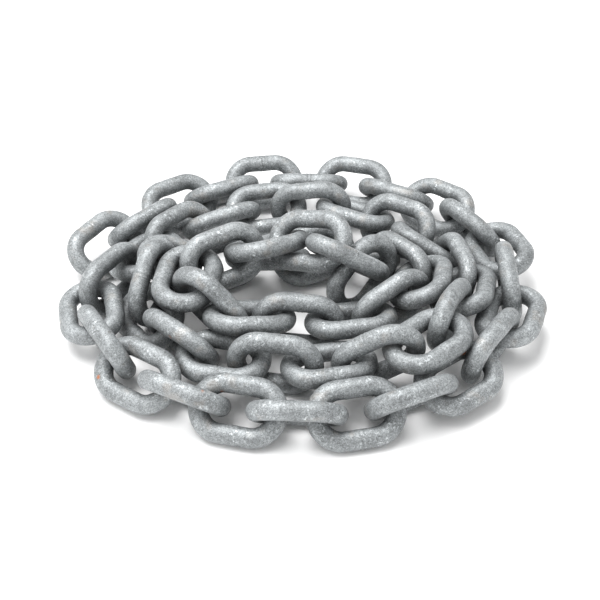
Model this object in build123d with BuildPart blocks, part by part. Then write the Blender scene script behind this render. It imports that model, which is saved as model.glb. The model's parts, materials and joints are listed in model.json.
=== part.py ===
from build123d import *
import os

# Coil of short-link chain, one solid per link, lying on z = 0 with its two free
# ends: the first link on the outside at the left, the last one inside the coil.
# All lengths in millimetres.

wire = 8.0             # diameter of the round bar
pitch = 24.0           # inside length of a link
outer_width = 28.0     # outside width of a link
bend_radius = (outer_width - wire) / 2          # centreline radius of each crown
straight = pitch + wire - 2 * bend_radius       # straight part of each leg
weld_ring = 0.16       # how far the upset of the butt weld stands proud
weld_width = 2.4       # length of that upset along the leg

# Every link's middle and its turn about X, Y and Z, along the chain.
poses = [
    ("link_01", [(-91.0300, 28.4008, 10.7927, 27.7013, 26.2664, 49.7444)]),
    ("link_02", [(-75.3450, 44.9200, 11.8497, 141.2401, 34.5542, -35.2324)]),
    ("link_03", [(-58.8911, 61.0534, 12.2433, 28.8785, 21.1223, 30.3735)]),
    ("link_04", [(-38.9605, 72.5960, 11.1441, 139.1117, 18.1488, -19.8054)]),
    ("link_05", [(-17.5535, 80.8824, 11.8668, 41.5375, 9.1594, 7.2575)]),
    ("link_06", [(5.3328, 82.4037, 10.3410, 142.0208, -1.1549, 1.4728)]),
    ("link_07", [(28.0506, 79.2630, 11.7469, 40.9050, -11.5456, -11.5168)]),
    ("link_08", [(49.1107, 69.9642, 11.0741, 139.9274, -18.7209, 20.8828)]),
    ("link_09", [(68.1862, 57.2714, 12.5634, 25.5156, -23.3336, -34.7209)]),
    ("link_10", [(82.3542, 39.5397, 12.8594, 136.3689, -46.5062, 37.2690)]),
    ("link_11", [(92.2894, 19.1011, 14.7097, -0.0110, -15.8815, -74.2488)]),
    ("link_12", [(93.2509, -3.8338, 14.5787, -168.7630, -78.9504, 95.3712)]),
    ("link_13", [(90.9997, -26.2841, 13.5768, -2.6249, -5.2110, -112.2638)]),
    ("link_14", [(79.4902, -45.8842, 14.0286, -72.6787, -52.9829, -166.0305)]),
    ("link_15", [(64.4637, -63.0007, 12.1435, 18.3287, 10.6682, -145.9013)]),
    ("link_16", [(44.3758, -74.1855, 12.3278, -51.8742, -19.7446, -165.1328)]),
    ("link_17", [(22.5511, -81.4600, 10.5302, 38.1793, 6.0129, -170.8256)]),
    ("link_18", [(-0.4519, -82.6279, 11.9838, -51.2228, 2.5902, 177.9310)]),
    ("link_19", [(-23.3214, -79.5533, 10.5161, 37.3234, -8.4764, 170.4071)]),
    ("link_20", [(-44.9122, -71.5152, 11.9163, -47.5155, 20.0226, 162.5899)]),
    ("link_21", [(-65.0037, -60.1120, 10.9032, 29.5803, -18.0355, 151.5952)]),
    ("link_22", [(-79.5096, -43.2428, 13.7416, -59.1777, 53.3751, 154.0041)]),
    ("link_23", [(-89.2178, -22.6424, 12.6619, 0.8494, -6.5239, 103.6102)]),
    ("link_24", [(-82.9875, -2.0601, 14.1455, 79.8237, 57.9811, 8.6622)]),
    ("link_25", [(-69.9983, 16.8729, 12.9822, 174.4528, 4.2393, -54.6449)]),
    ("link_26", [(-55.5096, 33.1224, 12.7857, 48.4019, 37.1237, 29.2712)]),
    ("link_27", [(-37.1571, 46.3241, 12.0573, 135.9036, 19.8312, -12.0849)]),
    ("link_28", [(-15.7612, 53.5086, 14.2007, 25.6435, 1.8227, 8.7029)]),
    ("link_29", [(6.0079, 53.2590, 15.0109, 90.6165, -4.9778, 9.2106)]),
    ("link_30", [(27.5477, 48.8480, 14.3426, 159.4247, -11.2128, 25.5252)]),
    ("link_31", [(46.8703, 37.0446, 15.6666, 45.5584, -30.7969, -21.1282)]),
    ("link_32", [(60.7409, 23.2461, 12.9597, 152.6610, -30.8501, 11.6594)]),
    ("link_33", [(69.6342, 5.1227, 13.7173, 29.6616, -68.3743, -58.9917)]),
    ("link_34", [(71.8178, -14.0043, 17.3081, -13.4526, -15.5205, -105.4881)]),
    ("link_35", [(63.1945, -34.1461, 20.8512, -82.9530, -63.3870, -156.3388)]),
    ("link_36", [(52.1853, -53.0139, 23.0151, -0.1558, -4.6667, -141.4466)]),
    ("link_37", [(32.2397, -56.0647, 17.5066, -81.6500, -5.2475, 148.7796)]),
    ("link_38", [(12.4798, -56.9339, 13.5022, -12.5209, -2.5905, -169.5544)]),
    ("link_39", [(-9.2891, -56.7725, 14.1475, -95.3395, 8.3003, -179.2486)]),
    ("link_40", [(-30.6245, -52.1878, 12.8241, 3.4130, -1.8449, 167.1890)]),
    ("link_41", [(-48.9313, -40.6448, 13.1242, -56.2180, 36.1604, 158.4572)]),
    ("link_42", [(-64.1835, -23.6379, 10.3984, 16.5683, -30.3295, 132.8724)]),
    ("link_43", [(-63.0515, -9.1287, 17.9467, 65.2401, 62.3677, 60.7659)]),
    ("links_44_45", [(-52.5026, 3.2231, 18.8974, -171.8997, -20.1948, 3.4617), (-33.4341, 10.2823, 14.1392, 79.5593, 30.1616, 4.4696)]),
    ("link_46", [(-14.0100, 18.8722, 10.2856, 153.0586, 0.1921, -3.6536)]),
    ("link_47", [(6.9033, 21.8401, 10.7714, 35.9537, 3.6648, 19.4050)]),
    ("link_48", [(28.0478, 21.4847, 10.5493, 144.6725, -10.5428, 21.3874)]),
    ("link_49", [(44.9393, 7.1449, 14.0711, 63.3029, -48.8666, -17.3799)]),
    ("link_50", [(53.5688, -10.0771, 19.2663, -14.8983, -21.1548, -102.5119)]),
    ("link_51", [(39.8588, -21.7097, 15.8943, -85.1810, -31.4351, 163.9734)]),
    ("link_52", [(22.3681, -30.3861, 14.6296, -18.2768, -3.8542, -172.5967)]),
    ("link_53", [(-0.0232, -32.5823, 14.8153, -98.4364, -1.9542, -172.3170)]),
    ("link_54", [(-20.3792, -32.8864, 18.0430, -21.1196, 4.4199, -162.7411)]),
    ("link_55", [(-36.8028, -27.8119, 21.6755, -75.1818, 32.2819, -142.3290)]),
    ("link_56", [(-47.4142, -16.9101, 26.8479, 3.4355, 1.7597, 83.1259)]),
    ("link_57", [(-32.5932, -4.3771, 27.7235, 65.0583, 22.6623, 15.9115)]),
    ("link_58", [(-13.8161, 3.6298, 28.4518, 150.0680, 9.9584, -29.6738)]),
    ("link_59", [(5.0676, 2.3793, 32.1647, 35.4638, -25.0461, -10.4670)]),
    ("link_60", [(21.3951, -6.0066, 29.3600, 140.3277, -23.6780, -16.7560)]),
    ("link_61", [(28.3188, -4.1165, 17.9079, 76.5934, 31.7425, -134.7642)]),
]

os.makedirs("parts", exist_ok=True)

# One link about its own middle: a round bar swept along an oval, with the
# low upset ring of its weld in the middle of one leg.
with BuildPart() as one_link:
    with BuildLine() as oval:
        a = Line((-straight / 2, -bend_radius), (straight / 2, -bend_radius))
        b = ThreePointArc((straight / 2, -bend_radius),
                          (straight / 2 + bend_radius, 0),
                          (straight / 2, bend_radius))
        c = Line((straight / 2, bend_radius), (-straight / 2, bend_radius))
        d = ThreePointArc((-straight / 2, bend_radius),
                          (-straight / 2 - bend_radius, 0),
                          (-straight / 2, -bend_radius))
    with BuildSketch(Plane(origin=(-straight / 2, -bend_radius, 0),
                           x_dir=(0, 1, 0), z_dir=(1, 0, 0))):
        Circle(wire / 2)
    sweep(path=oval.wires()[0])
    with BuildSketch(Plane(origin=(-weld_width / 2, bend_radius, 0),
                           x_dir=(0, 1, 0), z_dir=(1, 0, 0))):
        Circle(wire / 2)
    with BuildSketch(Plane(origin=(0, bend_radius, 0),
                           x_dir=(0, 1, 0), z_dir=(1, 0, 0))):
        Circle(wire / 2 + weld_ring)
    with BuildSketch(Plane(origin=(weld_width / 2, bend_radius, 0),
                           x_dir=(0, 1, 0), z_dir=(1, 0, 0))):
        Circle(wire / 2)
    loft(ruled=True)

for label, places in poses:
    with BuildPart() as node:
        for x, y, z, rx, ry, rz in places:
            add(one_link.part.moved(Location((x, y, z), (rx, ry, rz))))
    node.part.label = label
    export_step(node.part, "parts/" + label + ".step")
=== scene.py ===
import json
import math
import random
import bpy
import numpy as np
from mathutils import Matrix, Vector


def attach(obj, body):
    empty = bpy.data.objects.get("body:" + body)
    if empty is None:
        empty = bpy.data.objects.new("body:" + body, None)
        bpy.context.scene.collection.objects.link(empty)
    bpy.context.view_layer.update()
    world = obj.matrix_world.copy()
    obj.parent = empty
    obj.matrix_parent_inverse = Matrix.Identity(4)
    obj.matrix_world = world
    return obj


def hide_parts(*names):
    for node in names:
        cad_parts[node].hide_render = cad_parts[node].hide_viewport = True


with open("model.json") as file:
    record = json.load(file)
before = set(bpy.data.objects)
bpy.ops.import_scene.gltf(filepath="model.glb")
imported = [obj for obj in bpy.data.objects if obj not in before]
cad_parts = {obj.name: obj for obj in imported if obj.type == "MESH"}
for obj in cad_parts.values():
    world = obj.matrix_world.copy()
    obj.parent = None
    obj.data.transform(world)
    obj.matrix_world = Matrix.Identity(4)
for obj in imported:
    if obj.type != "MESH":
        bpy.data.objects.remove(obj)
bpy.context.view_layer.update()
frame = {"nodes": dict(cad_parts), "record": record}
scene = bpy.context.scene
MM = 0.001

# ---------------------------------------------------------------- the links
# One row per CAD node: its links, each as the middle in mm and the turn as a
# 3 x 3 matrix by rows (columns: along the link, across it, square to it).
LINKS = [
    ("link_01", [(-91.0300, 28.4008, 10.7927, 0.5795, -0.6844, 0.4425, 0.8086, 0.4151, -0.4169, 0.1016, 0.5994, 0.7940)]),
    ("link_02", [(-75.3450, 44.9200, 11.8497, 0.6727, 0.4751, 0.5672, 0.7399, -0.4321, -0.5156, 0.0001, 0.7665, -0.6422)]),
    ("link_03", [(-58.8911, 61.0534, 12.2433, 0.8048, -0.4717, 0.3604, 0.5929, 0.6675, -0.4505, -0.0280, 0.5762, 0.8168)]),
    ("link_04", [(-38.9605, 72.5960, 11.1441, 0.8940, 0.3220, 0.3115, 0.4480, -0.6422, -0.6220, -0.0002, 0.6957, -0.7184)]),
    ("link_05", [(-17.5535, 80.8824, 11.8668, 0.9793, -0.1247, 0.1592, 0.1993, 0.7292, -0.6547, -0.0344, 0.6728, 0.7390)]),
    ("link_06", [(5.3328, 82.4037, 10.3410, 0.9995, -0.0257, -0.0202, -0.0327, -0.7877, -0.6153, -0.0001, 0.6156, -0.7881)]),
    ("link_07", [(28.0506, 79.2630, 11.7469, 0.9600, 0.1956, -0.2001, -0.2793, 0.7144, -0.6416, 0.0175, 0.6718, 0.7405)]),
    ("link_08", [(49.1107, 69.9642, 11.0741, 0.8849, -0.3376, -0.3210, -0.4658, -0.6413, -0.6097, -0.0000, 0.6890, -0.7247)]),
    ("link_09", [(68.1862, 57.2714, 12.5634, 0.7547, 0.5230, -0.3961, -0.6543, 0.6446, -0.3955, 0.0485, 0.5577, 0.8287)]),
    ("link_10", [(82.3542, 39.5397, 12.8594, 0.5477, -0.4168, -0.7254, -0.8367, -0.2729, -0.4749, -0.0000, 0.8671, -0.4982)]),
    ("link_11", [(92.2894, 19.1011, 14.7097, 0.2611, 0.9257, -0.2736, -0.9624, 0.2715, 0.0002, 0.0745, 0.2633, 0.9618)]),
    ("link_12", [(93.2509, -3.8338, 14.5787, -0.0179, -0.1908, -0.9815, -0.9944, -0.0986, 0.0373, -0.1039, 0.9767, -0.1880)]),
    ("link_13", [(90.9997, -26.2841, 13.5768, -0.3773, 0.9216, -0.0908, -0.9261, -0.3746, 0.0456, 0.0080, 0.1013, 0.9948)]),
    ("link_14", [(79.4902, -45.8842, 14.0286, -0.5842, 0.1453, -0.7985, -0.8116, -0.1049, 0.5748, -0.0002, 0.9838, 0.1792)]),
    ("link_15", [(64.4637, -63.0007, 12.1435, -0.8138, 0.5509, 0.1851, -0.5804, -0.7534, -0.3090, -0.0308, -0.3589, 0.9329)]),
    ("link_16", [(44.3758, -74.1855, 12.3278, -0.9097, 0.2415, -0.3378, -0.4153, -0.5285, 0.7404, 0.0003, 0.8138, 0.5811)]),
    ("link_17", [(22.5511, -81.4600, 10.5302, -0.9818, 0.1586, 0.1048, -0.1893, -0.7657, -0.6147, -0.0173, -0.6233, 0.7818)]),
    ("link_18", [(-0.4519, -82.6279, 11.9838, -0.9983, -0.0361, 0.0452, 0.0578, -0.6246, 0.7788, 0.0001, 0.7801, 0.6257)]),
    ("link_19", [(-23.3214, -79.5533, 10.5161, -0.9752, -0.1648, -0.1474, 0.2206, -0.7692, -0.5997, -0.0145, -0.6174, 0.7865)]),
    ("link_20", [(-44.9122, -71.5152, 11.9163, -0.8965, -0.2811, 0.3424, 0.4430, -0.5689, 0.6929, -0.0000, 0.7729, 0.6346)]),
    ("link_21", [(-65.0037, -60.1120, 10.9032, -0.8364, -0.4523, -0.3096, 0.5481, -0.6923, -0.4694, -0.0020, -0.5623, 0.8269)]),
    ("link_22", [(-79.5096, -43.2428, 13.7416, -0.5362, -0.2615, 0.8026, 0.8441, -0.1585, 0.5123, -0.0068, 0.9521, 0.3057)]),
    ("link_23", [(-89.2178, -22.6424, 12.6619, -0.2338, -0.9656, -0.1136, 0.9722, -0.2337, -0.0147, -0.0123, -0.1139, 0.9934)]),
    ("link_24", [(-82.9875, -2.0601, 14.1455, 0.5242, -0.0799, 0.8479, 0.8516, 0.0490, -0.5219, 0.0001, 0.9956, 0.0937)]),
    ("link_25", [(-69.9983, 16.8729, 12.9822, 0.5771, 0.8133, 0.0739, 0.8159, -0.5701, -0.0964, -0.0363, 0.1159, -0.9926)]),
    ("link_26", [(-55.5096, 33.1224, 12.7857, 0.6955, -0.3899, 0.6035, 0.7183, 0.3585, -0.5963, 0.0161, 0.8482, 0.5294)]),
    ("link_27", [(-37.1571, 46.3241, 12.0573, 0.9198, 0.1969, 0.3393, 0.3812, -0.6528, -0.6546, 0.0926, 0.7315, -0.6756)]),
    ("link_28", [(-15.7612, 53.5086, 14.2007, 0.9880, -0.1512, 0.0318, 0.1500, 0.8890, -0.4326, 0.0371, 0.4321, 0.9010)]),
    ("link_29", [(6.0079, 53.2590, 15.0109, 0.9834, -0.1595, -0.0868, -0.0874, 0.0033, -0.9962, 0.1591, 0.9872, -0.0107)]),
    ("link_30", [(27.5477, 48.8480, 14.3426, 0.8852, -0.4227, -0.1945, -0.4651, -0.8154, -0.3447, -0.0128, 0.3956, -0.9183)]),
    ("link_31", [(46.8703, 37.0446, 15.6666, 0.8012, 0.3096, -0.5120, -0.5934, 0.5214, -0.6133, 0.0770, 0.7952, 0.6014)]),
    ("link_32", [(60.7409, 23.2461, 12.9597, 0.8408, -0.1735, -0.5128, -0.4102, -0.8224, -0.3943, -0.3533, 0.5418, -0.7626)]),
    ("link_33", [(69.6342, 5.1227, 13.7173, 0.1899, 0.3159, -0.9296, -0.9818, 0.0534, -0.1824, -0.0080, 0.9473, 0.3202)]),
    ("link_34", [(71.8178, -14.0043, 17.3081, -0.2573, 0.9285, -0.2676, -0.9539, -0.1997, 0.2242, 0.1547, 0.3129, 0.9371)]),
    ("link_35", [(63.1945, -34.1461, 20.8512, -0.4103, 0.1798, -0.8941, -0.8619, 0.2437, 0.4446, 0.2978, 0.9530, 0.0550)]),
    ("link_36", [(52.1853, -53.0139, 23.0151, -0.7794, 0.6212, -0.0814, -0.6234, -0.7819, 0.0027, -0.0619, 0.0528, 0.9967)]),
    ("link_37", [(32.2397, -56.0647, 17.5066, -0.8516, -0.5162, -0.0915, -0.0021, -0.1711, 0.9853, -0.5242, 0.8392, 0.1446)]),
    ("link_38", [(12.4798, -56.9339, 13.5022, -0.9824, 0.1811, -0.0452, -0.1866, -0.9583, 0.2166, -0.0041, 0.2212, 0.9752)]),
    ("link_39", [(-9.2891, -56.7725, 14.1475, -0.9894, 0.0130, 0.1444, 0.1449, 0.0912, 0.9852, -0.0004, 0.9958, -0.0921)]),
    ("link_40", [(-30.6245, -52.1878, 12.8241, -0.9746, -0.2216, -0.0322, 0.2232, -0.9730, -0.0595, -0.0181, -0.0652, 0.9977)]),
    ("link_41", [(-48.9313, -40.6448, 13.1242, -0.7510, -0.2965, 0.5900, 0.6603, -0.3371, 0.6711, -0.0000, 0.8936, 0.4489)]),
    ("link_42", [(-64.1835, -23.6379, 10.3984, -0.5873, -0.6326, -0.5050, 0.8004, -0.5466, -0.2461, -0.1203, -0.5487, 0.8273)]),
    ("link_43", [(-63.0515, -9.1287, 17.9467, 0.2265, -0.4047, 0.8859, 0.7584, -0.4975, -0.4212, 0.6112, 0.7673, 0.1942)]),
    ("links_44_45", [(-52.5026, 3.2231, 18.8974, 0.9368, -0.0567, -0.3452, -0.0112, -0.9912, 0.1322, -0.3497, -0.1200, -0.9292), (-33.4341, 10.2823, 14.1392, 0.8620, -0.0674, 0.5024, 0.5067, 0.1422, -0.8503, -0.0141, 0.9875, 0.1567)]),
    ("link_46", [(-14.0100, 18.8722, 10.2856, 0.9980, 0.0637, 0.0034, 0.0583, -0.8896, -0.4531, -0.0259, 0.4523, -0.8915)]),
    ("link_47", [(6.9033, 21.8401, 10.7714, 0.9413, -0.3316, 0.0639, 0.3043, 0.7510, -0.5859, 0.1463, 0.5710, 0.8078)]),
    ("link_48", [(28.0478, 21.4847, 10.5493, 0.9154, -0.3585, -0.1830, -0.3960, -0.7211, -0.5685, 0.0719, 0.5929, -0.8021)]),
    ("link_49", [(44.9393, 7.1449, 14.0711, 0.6278, 0.1965, -0.7532, -0.7764, 0.2278, -0.5877, 0.0561, 0.9537, 0.2955)]),
    ("link_50", [(53.5688, -10.0771, 19.2663, -0.2020, 0.9105, -0.3609, -0.9635, -0.1188, 0.2398, 0.1754, 0.3962, 0.9013)]),
    ("link_51", [(39.8588, -21.7097, 15.8943, -0.8201, -0.2356, -0.5215, -0.4763, -0.2242, 0.8502, -0.3172, 0.9456, 0.0717)]),
    ("link_52", [(22.3681, -30.3861, 14.6296, -0.9894, 0.1286, -0.0672, -0.1433, -0.9389, 0.3129, -0.0229, 0.3192, 0.9474)]),
    ("link_53", [(-0.0232, -32.5823, 14.8153, -0.9904, 0.1336, -0.0341, -0.0138, 0.1499, 0.9886, 0.1372, 0.9796, -0.1466)]),
    ("link_54", [(-20.3792, -32.8864, 18.0430, -0.9521, 0.2958, 0.0771, -0.2502, -0.8991, 0.3592, 0.1756, 0.3228, 0.9301)]),
    ("link_55", [(-36.8028, -27.8119, 21.6755, -0.6692, 0.5167, 0.5341, 0.2524, -0.5180, 0.8173, 0.6989, 0.6817, 0.2162)]),
    ("link_56", [(-47.4142, -16.9101, 26.8479, 0.1196, -0.9923, 0.0307, 0.9912, 0.1176, -0.0599, 0.0558, 0.0376, 0.9977)]),
    ("link_57", [(-32.5932, -4.3771, 27.7235, 0.8874, -0.2530, 0.3853, 0.4516, 0.3098, -0.8367, 0.0923, 0.9165, 0.3891)]),
    ("link_58", [(-13.8161, 3.6298, 28.4518, 0.8558, 0.4876, 0.1729, 0.5040, -0.7103, -0.4915, -0.1168, 0.5077, -0.8536)]),
    ("link_59", [(5.0676, 2.3793, 32.1647, 0.8909, 0.1646, -0.4233, -0.3895, 0.7563, -0.5256, 0.2337, 0.6332, 0.7379)]),
    ("link_60", [(21.3951, -6.0066, 29.3600, 0.8769, 0.2640, -0.4016, -0.0236, -0.8109, -0.5847, -0.4800, 0.5222, -0.7049)]),
    ("link_61", [(28.3188, -4.1165, 17.9079, -0.5989, 0.6038, 0.5261, -0.5250, 0.2001, -0.8272, -0.6048, -0.7716, 0.1972)]),
]

WIRE = 4.0          # radius of the bar
HALF = 6.0          # half the straight part of a leg
BEND = 10.0         # centreline radius of the crowns
AROUND = 44


def stations():
    """Distances along the centreline, from the middle of the welded leg, closer together at the weld."""
    total = 4 * HALF + 2 * math.pi * BEND
    fine = list(np.arange(-3.0, 3.0, 0.125))
    coarse = list(np.linspace(3.0, total - 3.0, 138, endpoint=False))
    return np.array(fine + coarse), total


def oval(s, total):
    """Centreline point, tangent and outward normal at distance s, the welded leg's middle at s = 0."""
    s = s % total
    arc = math.pi * BEND
    if s < HALF:
        return (-s, BEND), (-1, 0), (0, 1)
    s -= HALF
    if s < arc:
        a = math.pi / 2 + s / BEND
        n = (math.cos(a), math.sin(a))
        return (-HALF + BEND * n[0], BEND * n[1]), (-n[1], n[0]), n
    s -= arc
    if s < 2 * HALF:
        return (-HALF + s, -BEND), (1, 0), (0, -1)
    s -= 2 * HALF
    if s < arc:
        a = -math.pi / 2 + s / BEND
        n = (math.cos(a), math.sin(a))
        return (HALF + BEND * n[0], BEND * n[1]), (-n[1], n[0]), n
    s -= arc
    return (HALF - s, BEND), (-1, 0), (0, 1)


S, TOTAL = stations()
CEN = np.zeros((len(S), 3))
OUT = np.zeros((len(S), 3))
for k, s in enumerate(S):
    c, t, n = oval(s, TOTAL)
    CEN[k, :2] = c
    OUT[k, :2] = n
PHI = np.linspace(0, 2 * np.pi, AROUND, endpoint=False)
SS = np.where(S > TOTAL / 2, S - TOTAL, S)      # signed distance from the weld
GS, GP = np.meshgrid(S, PHI, indexing="ij")


def wrap(d, period):
    return (d + period / 2) % period - period / 2


def bump(h, s0, p0, ls, lp):
    """A smooth lump of height h mm at (s0, p0), ls mm long and lp mm wide."""
    ds = wrap(GS - s0, TOTAL) / ls
    dp = wrap(GP - p0, 2 * np.pi) * WIRE / lp
    return h * np.exp(-(ds * ds + dp * dp))


def surface(rng):
    """The bar's radius all over one link: slightly uneven zinc, the weld's upset, drips and dross lumps."""
    r = np.full(GS.shape, WIRE - 0.02)
    for _ in range(9):
        ks, kp = rng.integers(1, 9), rng.integers(0, 4)
        r += rng.uniform(0.004, 0.016) * np.cos(2 * np.pi * ks * GS / TOTAL + kp * GP + rng.uniform(0, 6.28))
    for _ in range(5):
        ks, kp = rng.integers(10, 26), rng.integers(0, 7)
        r += rng.uniform(0.002, 0.006) * np.cos(2 * np.pi * ks * GS / TOTAL + kp * GP + rng.uniform(0, 6.28))
    for _ in range(26):
        r += bump(rng.uniform(0.02, 0.075) * rng.choice([1, 1, 1, -0.8]), rng.uniform(0, TOTAL), rng.uniform(0, 6.28),
                  rng.uniform(0.7, 2.0), rng.uniform(0.6, 1.4))
    for _ in range(7):
        r += bump(rng.uniform(0.06, 0.13), rng.uniform(0, TOTAL), rng.uniform(0, 6.28),
                  rng.uniform(0.5, 0.9), rng.uniform(0.45, 0.8))
    for _ in range(int(rng.integers(1, 3))):    # drip lines along the bar
        r += bump(rng.uniform(0.08, 0.14), rng.uniform(0, TOTAL), rng.uniform(0, 6.28), rng.uniform(4, 9), 0.5)
    # the weld: a low upset band with two fine shoulders and a shallow seam
    wob = 0.22 * np.sin(GP + rng.uniform(0, 6.28)) + 0.12 * np.sin(2 * GP + rng.uniform(0, 6.28))
    x = SS[:, None] + wob
    side = 0.65 + 0.35 * np.cos(GP - rng.uniform(0, 6.28))
    r += side * (0.09 * np.exp(-(x / 1.5) ** 4)
                 + 0.10 * np.exp(-((x - 0.95) / 0.24) ** 2)
                 + 0.08 * np.exp(-((x + 0.95) / 0.24) ** 2)
                 - 0.12 * np.exp(-(x / 0.20) ** 2))
    r += 0.05 * side * np.exp(-((x - 1.9) / 0.22) ** 2)
    # the crowns are a little flatter inside, where the next link bears
    inner = np.clip(-np.cos(GP), 0, 1) ** 4
    for s0 in (HALF + math.pi * BEND / 2, -HALF - math.pi * BEND / 2):
        r -= 0.05 * inner * np.exp(-(wrap(GS - s0, TOTAL) / 4.0) ** 2)
    return np.clip(r, WIRE - 0.2, WIRE + 0.2)


def link_mesh(places, seed):
    ns = len(S)
    verts, faces = [], []
    i = np.arange(ns)[:, None]
    j = np.arange(AROUND)[None, :]
    i2, j2 = (i + 1) % ns, (j + 1) % AROUND
    quad = np.stack([i * AROUND + j, i * AROUND + j2, i2 * AROUND + j2, i2 * AROUND + j], -1).reshape(-1, 4)
    for n, row in enumerate(places):
        rng = np.random.default_rng(seed * 17 + n)
        r = surface(rng)
        pts = CEN[:, None, :] + r[..., None] * (np.cos(PHI)[None, :, None] * OUT[:, None, :]
                                                + np.sin(PHI)[None, :, None] * np.array([0, 0, 1.0]))
        m = np.array(row[3:]).reshape(3, 3)
        pts = pts.reshape(-1, 3) @ m.T + np.array(row[:3])
        verts.append(pts * MM)
        faces.append(quad + n * ns * AROUND)
    return np.concatenate(verts), np.concatenate(faces)


STEP = TOTAL / 40
COARSE = [oval(k * STEP, TOTAL)[0] + (0.0,) for k in range(40)]
ALL = []            # centreline points of every link, with the link they belong to
for name, places in LINKS:
    for n, row in enumerate(places):
        m = np.array(row[3:]).reshape(3, 3)
        ALL.append((name, n, np.array(COARSE) @ m.T + np.array(row[:3])))


def shelter(name, places):
    """How far the links around close in each point of the surface as laid down, 0 to 1, for painted contact shade."""
    out = []
    for n, row in enumerate(places):
        m = np.array(row[3:]).reshape(3, 3)
        nrm = (np.cos(PHI)[None, :, None] * OUT[:, None, :]
               + np.sin(PHI)[None, :, None] * np.array([0, 0, 1.0])).reshape(-1, 3) @ m.T
        pts = (np.repeat(CEN, AROUND, axis=0) @ m.T + np.array(row[:3])) + nrm * WIRE
        mid = np.array(row[:3])
        near = [c for a, b, c in ALL if not (a == name and b == n) and np.linalg.norm(c.mean(0) - mid) < 55]
        q = np.concatenate(near)
        d2 = np.maximum((pts ** 2).sum(1)[:, None] + (q ** 2).sum(1)[None, :] - 2 * pts @ q.T, 16.0)
        up = np.maximum(nrm @ q.T - (nrm * pts).sum(1)[:, None], 0.0)
        occ = (up * d2 ** -1.5).sum(1) * (2 * WIRE * STEP / math.pi)
        out.append(1 - np.exp(-1.5 * occ))
    return np.concatenate(out)


# ---------------------------------------------------------------- the zinc
# Rust specks: place in mm, radius in mm, strength.
SPOTS = [((66.93, -54.21, 17.85), 1.3, 0.90),
         ((-80.84, -60.20, 9.69), 1.0, 0.60),
         ((-62.71, 10.79, 18.15), 2.2, 0.28),
         ((84.80, -39.08, 8.21), 1.2, 0.25),
         ((-51.85, -49.34, 21.60), 1.0, 0.25),
         ((-36.26, -80.99, 22.42), 0.8, 0.30),
         ((-29.78, -74.06, 15.23), 0.9, 0.30)]


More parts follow.
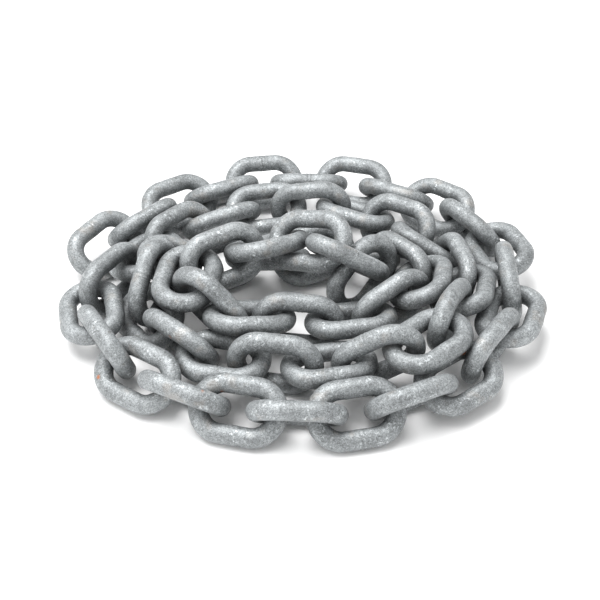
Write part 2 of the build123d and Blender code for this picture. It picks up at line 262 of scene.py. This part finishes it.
def galvanised():
    mat = bpy.data.materials.new("hot_dip_zinc")
    mat.use_nodes = True
    nt = mat.node_tree
    nt.nodes.clear()
    N = nt.nodes.new
    L = nt.links.new
    out = N("ShaderNodeOutputMaterial")
    bsdf = N("ShaderNodeBsdfPrincipled")
    L(bsdf.outputs[0], out.inputs[0])
    tc = N("ShaderNodeTexCoord")
    P = tc.outputs["Object"]

    def noise(scale, detail=2.0, rough=0.5, dist=0.0, offset=(0, 0, 0)):
        mp = N("ShaderNodeMapping")
        mp.inputs["Location"].default_value = offset
        L(P, mp.inputs["Vector"])
        n = N("ShaderNodeTexNoise")
        n.inputs["Scale"].default_value = scale
        n.inputs["Detail"].default_value = detail
        n.inputs["Roughness"].default_value = rough
        n.inputs["Distortion"].default_value = dist
        L(mp.outputs[0], n.inputs["Vector"])
        return n.outputs["Fac"]

    def ramp(fac, stops):
        r = N("ShaderNodeValToRGB")
        r.color_ramp.elements[0].position = stops[0][0]
        r.color_ramp.elements[0].color = stops[0][1]
        r.color_ramp.elements[1].position = stops[-1][0]
        r.color_ramp.elements[1].color = stops[-1][1]
        for pos, col in stops[1:-1]:
            e = r.color_ramp.elements.new(pos)
            e.color = col
        L(fac, r.inputs[0])
        return r.outputs[0]

    def mix(fac, a, b, mode="MIX"):
        m = N("ShaderNodeMix")
        m.data_type = "RGBA"
        m.blend_type = mode
        if isinstance(fac, float):
            m.inputs[0].default_value = fac
        else:
            L(fac, m.inputs[0])
        for sock, v in ((m.inputs[6], a), (m.inputs[7], b)):
            if isinstance(v, tuple):
                sock.default_value = v
            else:
                L(v, sock)
        return m.outputs[2]

    def math_(op, a, b=None, clamp=False):
        m = N("ShaderNodeMath")
        m.operation = op
        m.use_clamp = clamp
        for sock, v in ((m.inputs[0], a), (m.inputs[1], b)):
            if v is None:
                continue
            if isinstance(v, (int, float)):
                sock.default_value = v
            else:
                L(v, sock)
        return m.outputs[0]

    def grey(v):
        return (v * 0.945, v, v * 1.022, 1)

    def tone(v):
        return (v, v, v, 1)

    # broad cloudy patches, a middle mottle and a fine grain
    cloud = noise(95, 3, 0.55)
    mottle = noise(420, 4, 0.65, 0.3, (1.3, 0.2, 0.7))
    grain = noise(1500, 3, 0.7, 0.0, (0.4, 2.1, 0.9))
    fine = noise(3400, 2, 0.6, 0.0, (2.4, 0.1, 1.9))
    base = ramp(cloud, [(0.30, grey(0.225)), (0.5, grey(0.285)), (0.72, grey(0.35))])
    base = mix(1.0, base, ramp(mottle, [(0.28, tone(0.70)), (0.5, tone(0.98)), (0.75, tone(1.25))]), "MULTIPLY")
    base = mix(1.0, base, ramp(grain, [(0.30, tone(0.55)), (0.5, tone(1.0)), (0.70, tone(1.43))]), "MULTIPLY")
    base = mix(1.0, base, ramp(fine, [(0.32, tone(0.66)), (0.5, tone(1.0)), (0.68, tone(1.34))]), "MULTIPLY")
    # small bright flecks gathered in patches: smoother, shinier zinc, with a lighter colour there that is partly
    # painted glint
    fleck = noise(900, 3, 0.7, 0.6, (3.1, 1.2, 0.3))
    patch = noise(150, 2, 0.5, 0.0, (0.2, 3.3, 1.1))
    shiny_fleck_glint = math_("MULTIPLY",
               ramp(fleck, [(0.56, (0, 0, 0, 1)), (0.66, (1, 1, 1, 1))]),
               ramp(patch, [(0.46, (0.08, 0.08, 0.08, 1)), (0.64, (1, 1, 1, 1))]))
    # painted glint: the flecks take a much lighter base colour, beside their real lower roughness
    base = mix(shiny_fleck_glint, base, grey(0.72))
    # small dark pits and dross
    pit = ramp(noise(1100, 2, 0.5, 0.0, (5.3, 0.8, 2.2)), [(0.27, (1, 1, 1, 1)), (0.33, (0, 0, 0, 1))])
    base = mix(math_("MULTIPLY", pit, 0.7), base, grey(0.08))
    # faint warm tint in places
    warm = ramp(noise(130, 2, 0.5, 0.0, (7.7, 4.1, 0.5)), [(0.60, (0, 0, 0, 1)), (0.72, (1, 1, 1, 1))])
    base = mix(math_("MULTIPLY", warm, 0.14), base, (0.50, 0.40, 0.31, 1))
    # rust specks
    ragged = noise(1300, 3, 0.6, 0.0, (0.9, 0.9, 0.9))
    rust = None
    for (c, rad, amount) in SPOTS:
        v = N("ShaderNodeVectorMath")
        v.operation = "DISTANCE"
        L(P, v.inputs[0])
        v.inputs[1].default_value = (c[0] * MM, c[1] * MM, c[2] * MM)
        d = math_("DIVIDE", v.outputs["Value"], rad * MM)
        d = math_("ADD", d, math_("MULTIPLY", math_("SUBTRACT", ragged, 0.5), 1.6))
        s = math_("MULTIPLY", math_("SUBTRACT", 1.15, d, True), amount * 1.5, True)
        rust = s if rust is None else math_("MAXIMUM", rust, s)
    # painted shade where other links stand close; it stays on the link when the end run moves
    at = N("ShaderNodeAttribute")
    at.attribute_name = "shelter"
    base = mix(1.0, base, ramp(at.outputs["Fac"], [(0.60, tone(1.0)), (0.82, tone(0.72)), (0.97, tone(0.34))]), "MULTIPLY")
    base = mix(rust, base, (0.50, 0.16, 0.045, 1))
    L(base, bsdf.inputs["Base Color"])
    # matt zinc with smoother flecks
    rough = math_("ADD", math_("MULTIPLY", grain, 0.30), 0.37)
    rough = math_("SUBTRACT", rough, math_("MULTIPLY", shiny_fleck_glint, 0.24))
    rough = math_("ADD", rough, math_("MULTIPLY", rust, 0.3), True)
    L(rough, bsdf.inputs["Roughness"])
    bsdf.inputs["Metallic"].default_value = 0.40
    bsdf.inputs["Specular IOR Level"].default_value = 0.5
    # relief: lumps about a millimetre across under a fine sandy grain
    b1 = N("ShaderNodeBump")
    b1.inputs["Strength"].default_value = 1.0
    b1.inputs["Distance"].default_value = 0.00022
    L(mottle, b1.inputs["Height"])
    b2 = N("ShaderNodeBump")
    b2.inputs["Strength"].default_value = 1.0
    b2.inputs["Distance"].default_value = 0.00009
    L(grain, b2.inputs["Height"])
    L(b1.outputs[0], b2.inputs["Normal"])
    b3 = N("ShaderNodeBump")
    b3.inputs["Strength"].default_value = 0.8
    b3.inputs["Distance"].default_value = 0.00003
    L(fine, b3.inputs["Height"])
    L(b2.outputs[0], b3.inputs["Normal"])
    L(b3.outputs[0], bsdf.inputs["Normal"])
    return mat


zinc = galvanised()
body_of = {n: b for b, ns in (frame["record"].get("behaviour") or {}).get("bodies", {}).items() for n in ns}
for k, (name, places) in enumerate(LINKS):
    verts, faces = link_mesh(places, 101 + k)
    me = bpy.data.meshes.new(name + "_zinc")
    me.from_pydata(verts.tolist(), [], faces.tolist())
    me.polygons.foreach_set("use_smooth", [True] * len(me.polygons))
    me.materials.append(zinc)
    me.update()
    at = me.attributes.new("shelter", "FLOAT", "POINT")
    at.data.foreach_set("value", shelter(name, places).astype(np.float32))
    ob = bpy.data.objects.new(name + "_zinc", me)
    scene.collection.objects.link(ob)
    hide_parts(name)
    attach(ob, body_of.get(name, "root"))
for o in frame["nodes"].values():       # hidden, but they carry the finish too
    o.data.materials.clear()
    o.data.materials.append(zinc)

# ---------------------------------------------------------------- the room
floor_mat = bpy.data.materials.new("white_floor")
floor_mat.use_nodes = True
fb = floor_mat.node_tree.nodes["Principled BSDF"]
fb.inputs["Base Color"].default_value = (0.93, 0.93, 0.93, 1)
fb.inputs["Roughness"].default_value = 0.7
fb.inputs["Specular IOR Level"].default_value = 0.2
fm = bpy.data.meshes.new("floor")
e = 4.0
fm.from_pydata([(-e, -e, 0), (e, -e, 0), (e, e, 0), (-e, e, 0)], [], [(0, 1, 2, 3)])
fm.materials.append(floor_mat)
floor = bpy.data.objects.new("floor", fm)
scene.collection.objects.link(floor)

world = bpy.data.worlds.new("studio")
scene.world = world
world.use_nodes = True
bg = world.node_tree.nodes["Background"]
bg.inputs[0].default_value = (1, 1, 1, 1)
bg.inputs[1].default_value = 0.80


def area(name, loc, target, size, power):
    d = bpy.data.lights.new(name, "AREA")
    d.shape = "RECTANGLE"
    d.size, d.size_y = size
    d.energy = power
    o = bpy.data.objects.new(name, d)
    scene.collection.objects.link(o)
    o.location = loc
    o.rotation_mode = "QUATERNION"
    o.rotation_quaternion = (Vector(target) - Vector(loc)).to_track_quat("-Z", "Y")
    return o


area("softbox_top", (-0.20, 0.08, 0.95), (0, 0, 0), (0.8, 0.6), 12.5)
area("softbox_left", (-0.80, -0.30, 0.55), (0, 0, 0.02), (0.5, 0.4), 1.6)

cam = bpy.data.cameras.new("camera")
cam.lens = 60
cam.sensor_width = 36
cam.clip_start, cam.clip_end = 0.01, 20
camera = bpy.data.objects.new("camera", cam)
scene.collection.objects.link(camera)
camera.location = (0.000776, -0.352448, 0.291018)
camera.rotation_euler = (math.radians(90 - 39.5), 0, 0)
scene.camera = camera

scene.view_settings.view_transform = "Standard"
scene.view_settings.look = "None"
scene.view_settings.exposure = 0.0

bpy.context.view_layer.update()
